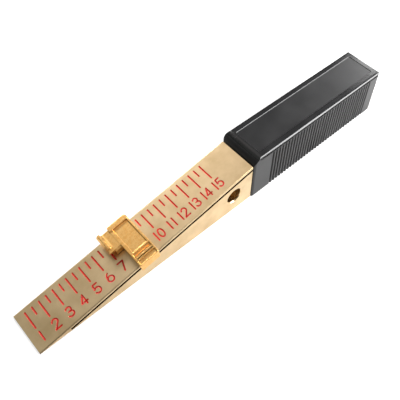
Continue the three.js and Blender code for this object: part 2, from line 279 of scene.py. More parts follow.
@dataclass(frozen=True)
class GiltCasting(Finish):
    """Die-cast zinc plated with gold: a warm, gently waving shine, with painted brown shade in the corners.
    """

    name: str = "gilt_casting"
    colours: tuple[str, str] = ("#F4B866", "#FDCB80")
    tint: Pattern = Pattern((0.9, 0.9, 0.9))
    tint_stops: Pair = (0.28, 0.6)
    gloss: Pattern = Pattern((0.16, 0.16, 0.16))
    roughness: float = 0.32
    roughness_swing: float = 0.06
    relief: Pattern = tint
    relief_mm: float = 0.03
    # Painted shade: the colour is browned towards this one where ambient occlusion finds corners closed in
    corner_colour: str = "#6A3E10"
    corner_mm: float = 0.45
    # The open shares of the view at which the painted corner shade is full and gone
    corner_share: Pair = (0.4, 0.78)
    corner_samples: int = 8

    def stained(self, tree: Tree, colour: Socket) -> Socket:
        """Paints brown shade into the colour in the corners.

        Args:
            tree: The node tree of the material.
            colour: The socket with the clean colour.

        Returns:
            The socket with the colour that carries the painted shade.
        """
        # Painted shade: ambient occlusion darkens the colour to brown in the corners
        corner = add_node(tree, "ShaderNodeAmbientOcclusion",
                          {"samples": self.corner_samples, "Distance": self.corner_mm * METRES})
        clear = add_node(tree, "ShaderNodeMapRange",
                         {"From Min": self.corner_share[0], "From Max": self.corner_share[1]},
                         {"Value": corner.outputs["AO"]})
        mix = add_node(tree, "ShaderNodeMixRGB", {"Color1": linear_colour(self.corner_colour)},
                       {"Fac": clear.outputs["Result"], "Color2": colour})
        return mix.outputs["Color"]


@dataclass(frozen=True)
class BlackMoulding(Finish):
    """Injection-moulded black ABS: a satin skin, a shade paler where hands have rubbed it."""

    name: str = "black_moulding"
    colours: tuple[str, str] = ("#1A1A1B", "#222223")
    tint: Pattern = Pattern((11.0, 11.0, 11.0), 3.0)
    tint_stops: Pair = (0.35, 0.7)
    gloss: Pattern = tint
    roughness: float = 0.16
    roughness_swing: float = 0.04
    # Spark-eroded mould texture is about 0.05 mm coarse: it is drawn at 0.3 mm, so that it shows
    relief: Pattern = Pattern((0.3, 0.3, 0.3))
    relief_mm: float = 0.012
    relief_share: float = 0.25
    metallic: float = 0.0
    ior: float = 1.5


@dataclass(frozen=True)
class TurnedSteel(Finish):
    """Zinc-plated turned steel: a cool grey shine with fine tool lines."""

    name: str = "turned_steel"
    colours: tuple[str, str] = ("#9A9B98", "#B9BAB6")
    # Tool lines lie about 0.03 mm apart: they are drawn 0.12 mm coarse, so that they show
    tint: Pattern = Pattern((0.12, 0.12, 0.12))
    roughness: float = 0.3
    relief: Pattern = tint
    relief_mm: float = 0.006


@dataclass(frozen=True)
class SpringBronze(Finish):
    """Rolled phosphor bronze strip: a reddish shine drawn out along the strip."""

    name: str = "spring_bronze"
    colours: tuple[str, str] = ("#A87040", "#C98F55")
    tint: Pattern = Pattern((2.5, 0.1, 0.1))
    roughness: float = 0.28
    relief: Pattern = tint
    relief_mm: float = 0.004


def put(name: str, data: bpy.types.ID) -> Piece:
    """Adds an object to the scene.

    Args:
        name: The object's name.
        data: Its mesh, camera or light.

    Returns:
        The object.
    """
    piece = bpy.data.objects.new(name, data)
    bpy.context.scene.collection.objects.link(piece)
    return piece


def solid(name: str, points: list[Triple], faces: Faces) -> Piece:
    """Makes a closed mesh object in millimetres, with its faces pointing out.

    Args:
        name: The object's name.
        points: The corners.
        faces: The faces, as corner numbers.

    Returns:
        The object.
    """
    mesh = bpy.data.meshes.new(name)
    mesh.from_pydata(points, [], faces)
    shape = bmesh.new()
    shape.from_mesh(mesh)
    bmesh.ops.recalc_face_normals(shape, faces=shape.faces)
    shape.to_mesh(mesh)
    shape.free()
    return put(name, mesh)


def drawn_point(axis: Axis, corner: Pair, along: float) -> Triple:
    """Places a corner of an outline at a place on the axis along which it is drawn out."""
    rest = list(corner)
    return tuple(along if place == axis.value else rest.pop(0) for place in range(3))


def band(low: int, high: int, count: int) -> Faces:
    """The faces between two closed rows of corners, from the number of each row's first corner."""
    return [(low + place, low + (place + 1) % count, high + (place + 1) % count, high + place)
            for place in range(count)]


def prism(name: str, outline: Outline, axis: Axis, start: float, end: float,
          last: Outline | None = None) -> Piece:
    """Draws a closed outline out into a solid.

    Args:
        name: The object's name.
        outline: Its corners in the two other axes, in order.
        axis: The direction in which it is drawn out.
        start: Where the solid starts along the axis.
        end: Where it ends.
        last: The outline at the end, if it is another one with as many corners.

    Returns:
        The solid.
    """
    count = len(outline)
    points = [drawn_point(axis, corner, start) for corner in outline]
    points += [drawn_point(axis, corner, end) for corner in last or outline]
    caps = [tuple(range(count)), tuple(range(count, 2 * count))]
    return solid(name, points, caps + band(0, count, count))


def block(name: str, low: Triple, high: Triple) -> Piece:
    """Makes a rectangular cutter or blank between two corners."""
    outline = [(low[1], low[2]), (high[1], low[2]), (high[1], high[2]), (low[1], high[2])]
    return prism(name, outline, Axis.ALONG, low[0], high[0])


def turned(name: str, profile: Outline, centre: Pair, steps: int) -> Piece:
    """Turns a profile of radius and height about an upright axis.

    Args:
        name: The object's name.
        profile: Radii and heights, from the axis at one end to the axis at the other.
        centre: The axis's place along and across.
        steps: The number of steps round the axis.

    Returns:
        The solid.
    """
    inner = profile[1:-1]
    rows = len(inner)
    points = [(*centre, profile[0][1]), (*centre, profile[-1][1])]
    faces = []
    for step in range(steps):
        angle = math.tau * step / steps
        points += [(centre[0] + radius * math.cos(angle), centre[1] + radius * math.sin(angle), height)
                   for radius, height in inner]
        here, there = 2 + step * rows, 2 + (step + 1) % steps * rows
        faces += [(here + row, here + row + 1, there + row + 1, there + row) for row in range(rows - 1)]
        faces += [(0, here, there), (1, there + rows - 1, here + rows - 1)]
    return solid(name, points, faces)


def arc(centre: Pair, radii: Pair, start: float, end: float, steps: int) -> Outline:
    """Finds points on an elliptical arc.

    Args:
        centre: The centre of the ellipse.
        radii: Its two radii.
        start: The first angle, in degrees.
        end: The last angle, in degrees.
        steps: The number of steps between them.

    Returns:
        The points, both ends included.
    """
    angles = [math.radians(start + (end - start) * step / steps) for step in range(steps + 1)]
    return [(centre[0] + radii[0] * math.cos(angle), centre[1] + radii[1] * math.sin(angle))
            for angle in angles]


def rounded_rectangle(low: Pair, high: Pair, radii: tuple[float, ...], steps: int = 10) -> Outline:
    """Draws a rectangle with its own radius at each corner.

    Args:
        low: The corner with the lowest coordinates.
        high: The corner with the highest coordinates.
        radii: The radii at low-low, high-low, high-high and low-high.
        steps: The steps in each quarter.

    Returns:
        The outline.
    """
    first, second, third, fourth = radii
    return [
        *arc((low[0] + first, low[1] + first), (first, first), 180, 270, steps),
        *arc((high[0] - second, low[1] + second), (second, second), 270, 360, steps),
        *arc((high[0] - third, high[1] - third), (third, third), 0, 90, steps),
        *arc((low[0] + fourth, high[1] - fourth), (fourth, fourth), 90, 180, steps),
    ]


def modify(piece: Piece, kind: str, **settings: object) -> None:
    """Puts a modifier's result into a piece's mesh.

    Args:
        piece: The piece.
        kind: Blender's name for the kind of modifier.
        settings: The modifier's own properties.
    """
    modifier = piece.modifiers.new(kind, kind)
    for key, value in settings.items():
        setattr(modifier, key, value)
    graph = bpy.context.evaluated_depsgraph_get()
    mesh = bpy.data.meshes.new_from_object(piece.evaluated_get(graph))
    piece.modifiers.clear()
    piece.data = mesh


def dress(piece: Piece, finish: Finish) -> None:
    """Gives every face of a piece one finish."""
    piece.data.materials.clear()
    piece.data.materials.append(finish.build())


def combine(piece: Piece, tool: Piece, join: Join = Join.CUT, finish: Finish | None = None,
            crossing: bool = False) -> None:
    """Adds a closed mesh to a piece, cuts it out or keeps what they share. The tool is used up.

    Args:
        piece: The piece that changes.
        tool: The other closed mesh.
        join: What is done with it.
        finish: The finish that the tool leaves where it has been.
        crossing: Whether the tool's parts cross each other.
    """
    if finish:
        dress(tool, finish)
    modify(piece, "BOOLEAN", operation=join.value, solver="EXACT", use_self=crossing,
           material_mode="TRANSFER", object=tool)
    bpy.data.objects.remove(tool)


def merge(name: str, pieces: list[Piece]) -> Piece:
    """Puts several meshes into one object as they are. The pieces are used up.

    Args:
        name: The object's name.
        pieces: The pieces that it takes up.

    Returns:
        The object.
    """
    shape = bmesh.new()
    for piece in pieces:
        shape.from_mesh(piece.data)
        bpy.data.objects.remove(piece)
    mesh = bpy.data.meshes.new(name)
    shape.to_mesh(mesh)
    shape.free()
    return put(name, mesh)


def soften_edges(piece: Piece, width: float, angle: float = 30) -> None:
    """Rounds a piece's edges.

    Args:
        piece: The piece.
        width: The width of the rounding, in millimetres.
        angle: Edges that turn by more than this many degrees are rounded.
    """
    modify(piece, "BEVEL", width=width, segments=EDGE_STEPS, limit_method="ANGLE",
           angle_limit=math.radians(angle))


def shade(piece: Piece) -> None:
    """Shades a piece smooth between its sharp edges, with its large faces kept flat.

    Args:
        piece: The piece.
    """
    piece.data.shade_smooth()
    piece.data.set_sharp_from_angle(angle=math.radians(SHARP_ANGLE))
    modify(piece, "WEIGHTED_NORMAL", keep_sharp=True)


def gauge_matrix() -> Matrix:
    """The move from the gauge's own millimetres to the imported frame, from where the wedge's tip lies."""
    low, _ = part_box("wedge_blade")
    return Matrix.Translation((low.x, 0, low.z)) @ Matrix.Scale(METRES, 4)


def seat(piece: Piece, body: str, node: str, move: Matrix | None = None) -> None:
    """Brings a dressed piece into the frame in metres and lets it stand for its node.

    Args:
        piece: The piece, in millimetres.
        body: The body that it rides on.
        node: The node that it stands for.
        move: A move in millimetres that comes first.
    """
    piece.data.transform(gauge_matrix() @ (move or Matrix.Identity(4)))
    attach(piece, body)
    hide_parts(node)
    LOG.info("%s rides on %s with %d faces", piece.name, body, len(piece.data.polygons))


@dataclass(frozen=True)
class WedgeForm:
    """The sizes of the wedge that other pieces fit to. Its top face is a slope in line with the scale."""

    length: float = 88.0
    half: float = 8.0
    tip_thickness: float = 0.38
    scale_rise: float = 14.0
    scale_run: float = 72.1
    tang_length: float = 40.0
    tang_half: float = 5.14
    tang_underside: float = 2.45
    tang_top: float = 13.45

    @property
    def angle(self) -> float:
        """The slope's angle, in radians."""
        return math.atan2(self.scale_rise, self.scale_run)

    @property
    def slope_length(self) -> float:
        """The slope's length to the handle."""
        return self.length / math.cos(self.angle)

    @property
    def slope_matrix(self) -> Matrix:
        """The move from along, across and above the slope to the gauge's own place."""
        return Matrix.Translation((0, 0, self.tip_thickness)) @ Matrix.Rotation(-self.angle, 4, "Y")

    def reading_place(self, reading: float) -> float:
        """The distance along the slope at which the wedge is as thick as a reading."""
        run = (reading - self.tip_thickness) * self.scale_run / self.scale_rise
        return run / math.cos(self.angle)


@dataclass(frozen=True)
class Stroke:
    """The middle line of one engraved groove, which may close on itself."""

    points: Outline
    closed: bool = False

    def placed(self, centre: Pair, size: Pair) -> "Stroke":
        """Scales a stroke drawn in shares of a cell to a real size and moves it."""
        points = [(centre[0] + size[0] * x, centre[1] + size[1] * y) for x, y in self.points]
        return Stroke(points, self.closed)


def ring(centre: Pair, radii: Pair, steps: int) -> Stroke:
    """Draws a stroke round an ellipse."""
    return Stroke(arc(centre, radii, 0, 360, steps)[:-1], closed=True)


def numeral_strokes() -> dict[str, list[Stroke]]:
    """Draws the numerals in shares of a cell that is 1 wide and 1 high round its centre.

    Returns:
        The strokes of each numeral.
    """
    six = [ring((0, -0.2), (0.5, 0.3), 22), Stroke(arc((0.22, -0.16), (0.7, 0.66), 108, 172, 6))]
    return {
        "0": [ring((0, 0), (0.46, 0.5), 24)],
        "1": [Stroke([(0, -0.5), (0, 0.5)])],
        "2": [Stroke([*arc((0, 0.22), (0.46, 0.28), 165, -28, 11), (-0.48, -0.5)]),
              Stroke([(-0.48, -0.5), (0.5, -0.5)])],
        "3": [Stroke(arc((-0.04, 0.26), (0.42, 0.24), 150, -90, 11)),
              Stroke([(-0.16, 0.02), *arc((-0.02, -0.23), (0.5, 0.27), 84, -155, 12)])],
        "4": [Stroke([(0.22, 0.5), (-0.5, -0.25)]), Stroke([(-0.5, -0.25), (0.5, -0.25)]),
              Stroke([(0.22, 0.5), (0.22, -0.5)])],
        "5": [Stroke([(0.42, 0.5), (-0.3, 0.5)]), Stroke([(-0.3, 0.5), (-0.4, 0.02)]),
              Stroke(arc((0, -0.19), (0.5, 0.31), 143, -152, 13))],
        "6": six,
        "7": [Stroke([(-0.46, 0.5), (0.48, 0.5)]), Stroke([(0.48, 0.5), (-0.12, -0.5)])],
        "8": [ring((0, 0.27), (0.4, 0.23), 20), ring((0, -0.23), (0.5, 0.27), 20)],
        "9": [stroke.placed((0, 0), (-1, -1)) for stroke in six],
    }


@dataclass
class Engraver:
    """Cuts round-bottomed grooves along strokes, as a small round cutter leaves them."""

    half_width: float = 0.33
    depth: float = 0.22
    # The cutter has its full width at this height above the surface
    clearance: float = 0.3
    end_steps: int = 6
    # Half-widths below the surface, as shares of the full one, at shares of the depth
    section_shares: tuple[Pair, ...] = ((0.86, 0.4), (0.56, 0.8), (0.2, 1.0))

    def headings(self, stroke: Stroke) -> list[tuple[Vector, float]]:
        """Finds the sideways direction at each point of a stroke and how far a corner is stretched.

        Args:
            stroke: The groove's middle line.

        Returns:
            The direction and the stretch at each point.
        """
        points = [Vector(point) for point in stroke.points]
        count = len(points)
        legs = [(points[(place + 1) % count] - points[place]).normalized() for place in range(count)]
        found = []
        for place in range(count):
            meeting = [legs[place - 1]] if stroke.closed or place else []
            meeting += [legs[place]] if stroke.closed or place < count - 1 else []
            heading = sum(meeting, Vector((0, 0))).normalized()
            found.append((Vector((-heading.y, heading.x)), 1 / heading.dot(meeting[0])))
        return found

    def rim(self, stroke: Stroke, half: float) -> list[Outline]:
        """Draws the edge of a groove at one level.

        Args:
            stroke: The groove's middle line.
            half: Half the groove's width at that level.

        Returns:
            One outline round an open stroke, or the outer and inner ones of a closed stroke.
        """
        headings = self.headings(stroke)
        points = [Vector(point) for point in stroke.points]
        left = [tuple(point + side * half * stretch) for point, (side, stretch) in zip(points, headings)]
        right = [tuple(point - side * half * stretch) for point, (side, stretch) in zip(points, headings)]
        if stroke.closed:
            return [left, right]
        caps = []
        for point, (side, _), turn in ((points[-1], headings[-1], 1), (points[0], headings[0], -1)):
            start = math.degrees(math.atan2(side.y * turn, side.x * turn))
            caps.append(arc(tuple(point), (half, half), start, start - 180, self.end_steps)[1:-1])
        return [[*left, *caps[0], *reversed(right), *caps[1]]]

    def cutter(self, stroke: Stroke) -> Piece:
        """Makes the closed cutter for one groove, in the frame of the slope.

        Args:
            stroke: The groove's middle line.

        Returns:
            The cutter.
        """
        levels = [(self.half_width, self.clearance)]
        levels += [(self.half_width * width, -self.depth * down) for width, down in self.section_shares]
        rims = [self.rim(stroke, half) for half, _ in levels]
        points = [(x, y, height) for (_, height), loops in zip(levels, rims) for loop in loops
                  for x, y in loop]
        size = len(rims[0][0])
        step = size * len(rims[0])
        last = len(levels) - 1
        faces = []
        for low in range(0, last * step, size):
            faces += band(low, low + step, size)
        for base in (0, last * step):
            faces += band(base, base + size, size) if stroke.closed else [tuple(range(base, base + size))]
        return solid("groove", points, faces)


@dataclass
class WedgeBlade:
    """The brass wedge: its tang, guide slots, hanging hole and the red scale engraved on its slope."""

    form: WedgeForm
    edge_chamfer: float = 0.32
    edge_softness: float = 0.05
    rail_height: float = 1.02
    slot_height: float = 1.16
    slot_depth: float = 0.9
    slot_start: float = 11.0
    slot_wheel: float = 2.5
    slot_steps: int = 12
    hole_radius: float = 3.1
    hole_from_handle: float = 8.4
    hole_height: float = 8.1
    hole_chamfer: float = 0.3
    hole_steps: int = 72
    tang_chamfer: float = 1.5
    overrun: float = 1.2
    last_number: int = 15
    mark_far: float = 6.13
    mark_near: float = -0.4
    half_mark_near: float = 3.2
    numeral_middle: float = -3.8
    numeral_height: float = 3.4
    numeral_width: float = 2.1
    numeral_shift: float = 0.2
    pair_width: float = 1.95
    pair_gap: float = 1.05
    # The two strokes of 11 stand this many times as far apart as a 1 and the edge of another digit
    eleven_spread: float = 1.8
    # The engraving's rims are broken by a shallow wider groove
    rim_half: float = 0.44
    rim_depth: float = 0.07
    rim_shares: tuple[Pair, ...] = ((0.7, 1.0),)

    def section(self, top: float) -> Outline:
        """The wedge's cross-section at a thickness, with chamfered top edges."""
        half, inner, shoulder = self.form.half, self.form.half - self.edge_chamfer, top - self.edge_chamfer
        return [(-half, 0), (half, 0), (half, shoulder), (inner, top), (-inner, top), (-half, shoulder)]

    def blank(self) -> Piece:
        """Makes the plain wedge.

        Returns:
            The wedge.
        """
        tip, length = self.form.tip_thickness, self.form.length
        heel = tip + length * self.form.scale_rise / self.form.scale_run
        return prism("graduated_wedge", self.section(tip), Axis.ALONG, 0, length, self.section(heel))

    def slot(self, side: Side) -> Piece:
        """Makes the cutter for one guide slot, which runs in along the arc of the slotting wheel.

        Args:
            side: The flank that it cuts.

        Returns:
            The cutter.
        """
        half, wheel = self.form.half, self.slot_wheel
        floor, outer = half - self.slot_depth, half + self.overrun
        centre = floor + wheel
        start = math.degrees(math.asin((centre - half) / wheel))
        along = self.slot_start + wheel * math.cos(math.radians(start))
        end = self.form.slope_length + self.overrun
        run_in = arc((along, centre), (wheel, wheel), 180 + start, 270, self.slot_steps)
        outline = [(self.slot_start, outer), *run_in, (end, floor), (end, outer)]
        cutter = prism("slot", [(x, side.value * y) for x, y in outline], Axis.UP,
                       -self.rail_height - self.slot_height, -self.rail_height)
        cutter.data.transform(self.form.slope_matrix)
        return cutter

    def hole(self) -> Piece:
        """Makes the cutter for the hanging hole, with a broken edge at both mouths.

        Returns:
            The cutter.
        """
        reach = self.form.half + self.overrun
        edge = self.form.half - self.hole_chamfer
        wide = self.hole_radius + self.hole_chamfer + self.overrun
        profile = [(0, -reach), (wide, -reach), (self.hole_radius, -edge), (self.hole_radius, edge),
                   (wide, reach), (0, reach)]
        cutter = turned("hole", profile, (0, 0), self.hole_steps)
        place = Matrix.Translation((self.form.length - self.hole_from_handle, 0, self.hole_height))
        cutter.data.transform(place @ Matrix.Rotation(math.pi / 2, 4, "X"))
        return cutter

    def tang(self) -> Piece:
        """Makes the bar that the handle holds.

        Returns:
            The bar.
        """
        form, chamfer = self.form, self.tang_chamfer
        start, end, half = form.length - self.overrun, form.length + form.tang_length, form.tang_half
        outline = [(start, -half), (end - chamfer, -half), (end, -half + chamfer),
                   (end, half - chamfer), (end - chamfer, half), (start, half)]
        return prism("tang", outline, Axis.UP, form.tang_underside, form.tang_top)

    def digit_places(self, digits: str, middle: float) -> list[Pair]:
        """Finds the middle and width of each digit of a number.

        Args:
            digits: The number's digits.
            middle: The middle of the whole number along the slope.

        Returns:
            The place and the width of each digit.
        """
        if len(digits) == 1:
            return [(middle, self.numeral_width)]
        second = 0.0 if digits[1] == "1" else self.pair_width
        gap = self.pair_gap if second else self.eleven_spread * self.pair_gap
        start = middle - (gap + second) / 2
        return [(start, self.pair_width), (start + gap + second / 2, self.pair_width)]

    def scale(self) -> list[Stroke]:
        """Lays out the scale: a long line at each number, a short one between, and the numerals.

        Returns:
            The strokes.
        """
        strokes = []
        for step in range(2, 2 * self.last_number + 1):
            place = self.form.reading_place(step / 2)
            near = self.half_mark_near if step % 2 else self.mark_near
            strokes.append(Stroke([(place, near), (place, self.mark_far)]))
        numerals = numeral_strokes()
        for number in range(1, self.last_number + 1):
            digits = str(number)
            places = self.digit_places(digits, self.form.reading_place(number) + self.numeral_shift)
            for digit, (place, width) in zip(digits, places):
                strokes += [stroke.placed((place, self.numeral_middle), (width, self.numeral_height))
                            for stroke in numerals[digit]]
        return strokes

    def build(self) -> None:
        """Makes the wedge, engraves it and seats it."""
        brass = GroundBrass()
        wedge = self.blank()
        dress(wedge, brass)
        combine(wedge, self.hole(), finish=GroundBrass("bored_brass", roughness=0.22, relief_share=0.2))
        soften_edges(wedge, self.edge_softness)
        combine(wedge, self.tang(), Join.ADD, brass)
        # The slots' faces are dressed dark as painted shade
        for side in Side:
            combine(wedge, self.slot(side), finish=SawnBrass())
        rim_cutter = Engraver(self.rim_half, self.rim_depth, section_shares=self.rim_shares)
        for engraver, finish in ((rim_cutter, brass), (Engraver(), MarkEnamel())):
            grooves = merge("grooves", [engraver.cutter(stroke) for stroke in self.scale()])
            grooves.data.transform(self.form.slope_matrix)
            combine(wedge, grooves, finish=finish, crossing=True)
        shade(wedge)
        seat(wedge, "gauge", "wedge_blade")


@dataclass
class Handle:
    """The handle: a ribbed shell with a cradle for the tang, a cover with a sunk panel, and two screws."""

    form: WedgeForm
    seat_gap: float = 0.25
    length: float = 70.5
    half: float = 8.44
    sole: float = -0.3
    top: float = 20.497
    brow_radius: float = 4.5
    edge_radius: float = 1.1
    sole_radius: float = 0.4
    corner_radius: float = 1.2
    cover_underside: float = 19.6
    shell_top: float = 18.9
    # The front wall rises nearly to the cover, so that the parting line ends behind the brow
    brow_joint: float = 0.06
    parting_softness: float = 0.1
    # The shell's and the cover's edges that turn by more than this many degrees are rounded
    soft_angle: float = 40
    side_wall: float = 2.1
    front_wall: float = 3.0
    rear_wall: float = 2.4
    floor_thickness: float = 2.5
    grip_start: float = 9.1
    grip_end: float = 5.2
    rib_pitch: float = 1.6
    groove_mouth: float = 1.05
    groove_floor: float = 0.45
    groove_depth: float = 0.62
    grip_top: float = 18.65
    panel_front: float = 4.2
    panel_rear: float = 2.6
    panel_side: float = 2.5
    panel_depth: float = 0.16
    panel_corner: float = 0.6
    panel_steps: int = 6
    # How far the panel's walls lean out for each millimetre up
    panel_lean: float = 0.9
    panel_softness: float = 0.04
    skirt_depth: float = 2.2
    skirt_wall: float = 1.1
    web_thickness: float = 2.0
    web_rise: float = 1.5
    web_inset: float = 4.0
    screw_inset: float = 9.0
    shank_radius: float = 1.5
    shank_chamfer: float = 0.5
    head_radius: float = 2.8
    head_height: float = 1.5
    head_sink: float = 0.2
    screw_bite: float = 5.0
    recess_width: float = 0.62
    recess_reach: float = 1.55
    recess_depth: float = 1.05
    overrun: float = 1.2
    round_steps: int = 48

    @property
    def front(self) -> float:
        """The handle's face towards the wedge."""
        return self.form.length + self.seat_gap

    @property
    def end(self) -> float:
        """The handle's rear end."""
        return self.form.length + self.length

    @property
    def tang_end(self) -> float:
        """The end of the tang inside the handle."""
        return self.form.length + self.form.tang_length

    @property
    def head_mouth(self) -> float:
        """The height at which the screws' heads start."""
        return self.sole + self.head_sink

    @property
    def cheek(self) -> float:
        """The distance of the tang's two cheeks from the middle."""
        return self.form.tang_half + self.seat_gap

    @property
    def cavity(self) -> tuple[float, float, float, float]:
        """The hollow's front, rear, half-width and floor."""
        return (self.front + self.front_wall, self.end - self.rear_wall,
                self.half - self.side_wall, self.sole + self.floor_thickness)

    @property
    def screw_places(self) -> Pair:
        """Where the two screws stand along the handle."""
        return self.front + self.front_wall + self.screw_inset, self.tang_end - self.screw_inset

    def envelope(self, name: str, low: float, high: float) -> Piece:
        """Makes the handle's outside between two levels, with its rounded brow above the wedge.

        Args:
            name: The object's name.
            low: The lower level.
            high: The upper level.

        Returns:
            The solid.
        """
        front, end, half, past = self.front, self.end, self.half, self.overrun
        soles = (self.sole_radius,) * 2
        plan = rounded_rectangle((front, -half), (end, half), (self.corner_radius,) * 4)
        side = rounded_rectangle((front, self.sole), (end, self.top),
                                 (*soles, self.edge_radius, self.brow_radius))
        section = rounded_rectangle((-half, self.sole), (half, self.top),
                                    (*soles, self.edge_radius, self.edge_radius))
        body = prism(name, plan, Axis.UP, low, high)
        combine(body, prism("side", side, Axis.ACROSS, -half - past, half + past), Join.TRIM)
        combine(body, prism("section", section, Axis.ALONG, front - past, end + past), Join.TRIM)
        return body

    def grooves(self) -> Piece:
        """Makes the cutters between the grip ribs, on both sides.

        Returns:
            The cutters, as one object.
        """
        room = self.length - self.grip_start - self.grip_end
        count = math.floor((room - self.groove_mouth) / self.rib_pitch) + 1
        first = self.front + self.grip_start + self.groove_mouth / 2
        narrow = self.groove_floor / 2
        flare = (self.groove_mouth - self.groove_floor) / 2 / self.groove_depth
        wide = self.groove_mouth / 2 + self.overrun * flare
        cutters = []
        for side in Side:
            surface = side.value * (self.half + self.overrun)
            bottom = side.value * (self.half - self.groove_depth)
            for index in range(count):
                x = first + index * self.rib_pitch
                outline = [(x - wide, surface), (x - narrow, bottom), (x + narrow, bottom),
                           (x + wide, surface)]
                cutters.append(prism("groove", outline, Axis.UP, self.sole - self.overrun, self.grip_top))
        return merge("grooves", cutters)

    def screw_seats(self) -> Piece:
        """Makes the cutters for the two screws and the seats of their heads.

        Returns:
            The cutters, as one object.
        """
        head, shank = self.head_radius + self.seat_gap, self.shank_radius + self.seat_gap
        low, floor = self.sole - self.overrun, self.cavity[3] + self.overrun
        profile = [(0, low), (head, low), (head, self.head_mouth),
                   (shank, self.head_mouth + self.head_height + self.seat_gap), (shank, floor), (0, floor)]
        return merge("seats", [turned("seat", profile, (x, 0), self.round_steps) for x in self.screw_places])

    def cradle(self) -> Piece:
        """Makes the webs that hold the tang between their cheeks.

        Returns:
            The webs, as one object.
        """
        front, _, half, floor = self.cavity
        thickness, top = self.web_thickness, self.form.tang_top + self.web_rise
        webs = []
        for x in (front + self.web_inset - thickness, self.tang_end - self.web_inset):
            for side in Side:
                near, far = sorted((side.value * self.cheek, side.value * (half + self.seat_gap)))
                webs.append(block("web", (x, near, floor - self.seat_gap), (x + thickness, far, top)))
        return merge("webs", webs)

    def panel(self, height: float) -> Outline:
        """Draws the sunk panel at a height above the cover's top.

        Args:
            height: The height, which is negative below the top.

        Returns:
            The outline.
        """
        out = self.panel_lean * height
        return rounded_rectangle((self.front + self.panel_front - out, -self.half + self.panel_side - out),
                                 (self.end - self.panel_rear + out, self.half - self.panel_side + out),
                                 (self.panel_corner + out,) * 4, self.panel_steps)

    def shell(self) -> None:
        """Makes the ribbed shell."""
        front, rear, half, floor = self.cavity
        past, gap = self.overrun, self.seat_gap
        wide, high = self.half + past, self.shell_top + past
        shell = self.envelope("ribbed_shell", self.sole - past, self.cover_underside - self.brow_joint)
        combine(shell, block("parting", (front, -wide, self.shell_top), (self.end + past, wide, high)))
        combine(shell, block("cavity", (front, -half, floor), (rear, half, high)))
        combine(shell, block("mouth", (self.front - past, -self.cheek, self.form.tang_underside - gap),
                             (front + past, self.cheek, self.form.tang_top + gap)))
        combine(shell, self.grooves())
        combine(shell, self.screw_seats())
        combine(shell, self.cradle(), Join.ADD)
        soften_edges(shell, self.parting_softness, self.soft_angle)
        shade(shell)
        dress(shell, BlackMoulding(roughness=0.4))
        seat(shell, "gauge", "handle_shell")

    def cover(self) -> None:
        """Makes the cover, with its sunk textured panel and its skirt."""
        satin = BlackMoulding("black_cover")
        cover = self.envelope("panel_cover", self.cover_underside, self.top + self.overrun)
        sunk = prism("panel", self.panel(-self.panel_depth), Axis.UP, self.top - self.panel_depth,
                     self.top + self.overrun, self.panel(self.overrun))
        dress(cover, satin)
        combine(cover, sunk, finish=BlackMoulding("black_panel", roughness=0.34))
        soften_edges(cover, self.panel_softness, self.soft_angle)
        front, rear, half, _ = self.cavity
        gap, wall, underside = self.seat_gap, self.skirt_wall, self.cover_underside
        low = (front + gap, -half + gap, underside - self.skirt_depth)
        high = (rear - gap, half - gap, underside + gap)
        skirt = block("skirt", low, high)
        combine(skirt, block("inside", (low[0] + wall, low[1] + wall, low[2] - self.overrun),
                             (high[0] - wall, high[1] - wall, underside)))
        combine(cover, skirt, Join.ADD, satin)
        shade(cover)
        seat(cover, "gauge", "handle_cover")

    def screw(self, end: str, x: float) -> None:
        """Makes one countersunk screw with a cross recess in its head.

        Args:
            end: The end of the handle at which it stands, as its name says it.
            x: Its place along the handle.
        """
        mouth, tip = self.head_mouth, self.form.tang_underside + self.screw_bite
        radius, chamfer = self.shank_radius, self.shank_chamfer
        profile = [(0, mouth), (self.head_radius, mouth), (radius, mouth + self.head_height),
                   (radius, tip - chamfer), (radius - chamfer, tip), (0, tip)]
        screw = turned(f"cross_screw_{end}", profile, (x, 0), self.round_steps)
        half, reach = self.recess_width / 2, self.recess_reach
        for across, along in ((half, reach), (reach, half)):
            combine(screw, block("recess", (x - along, -across, mouth - self.overrun),
                                 (x + along, across, mouth + self.recess_depth)))
        soften_edges(screw, self.parting_softness)
        shade(screw)
        dress(screw, TurnedSteel())
        seat(screw, "gauge", f"tang_screw_{end}")

    def build(self) -> None:
        """Makes the shell, the cover and the screws."""
        self.shell()
        self.cover()
        for end, place in zip(("front", "rear"), self.screw_places):
            self.screw(end, place)


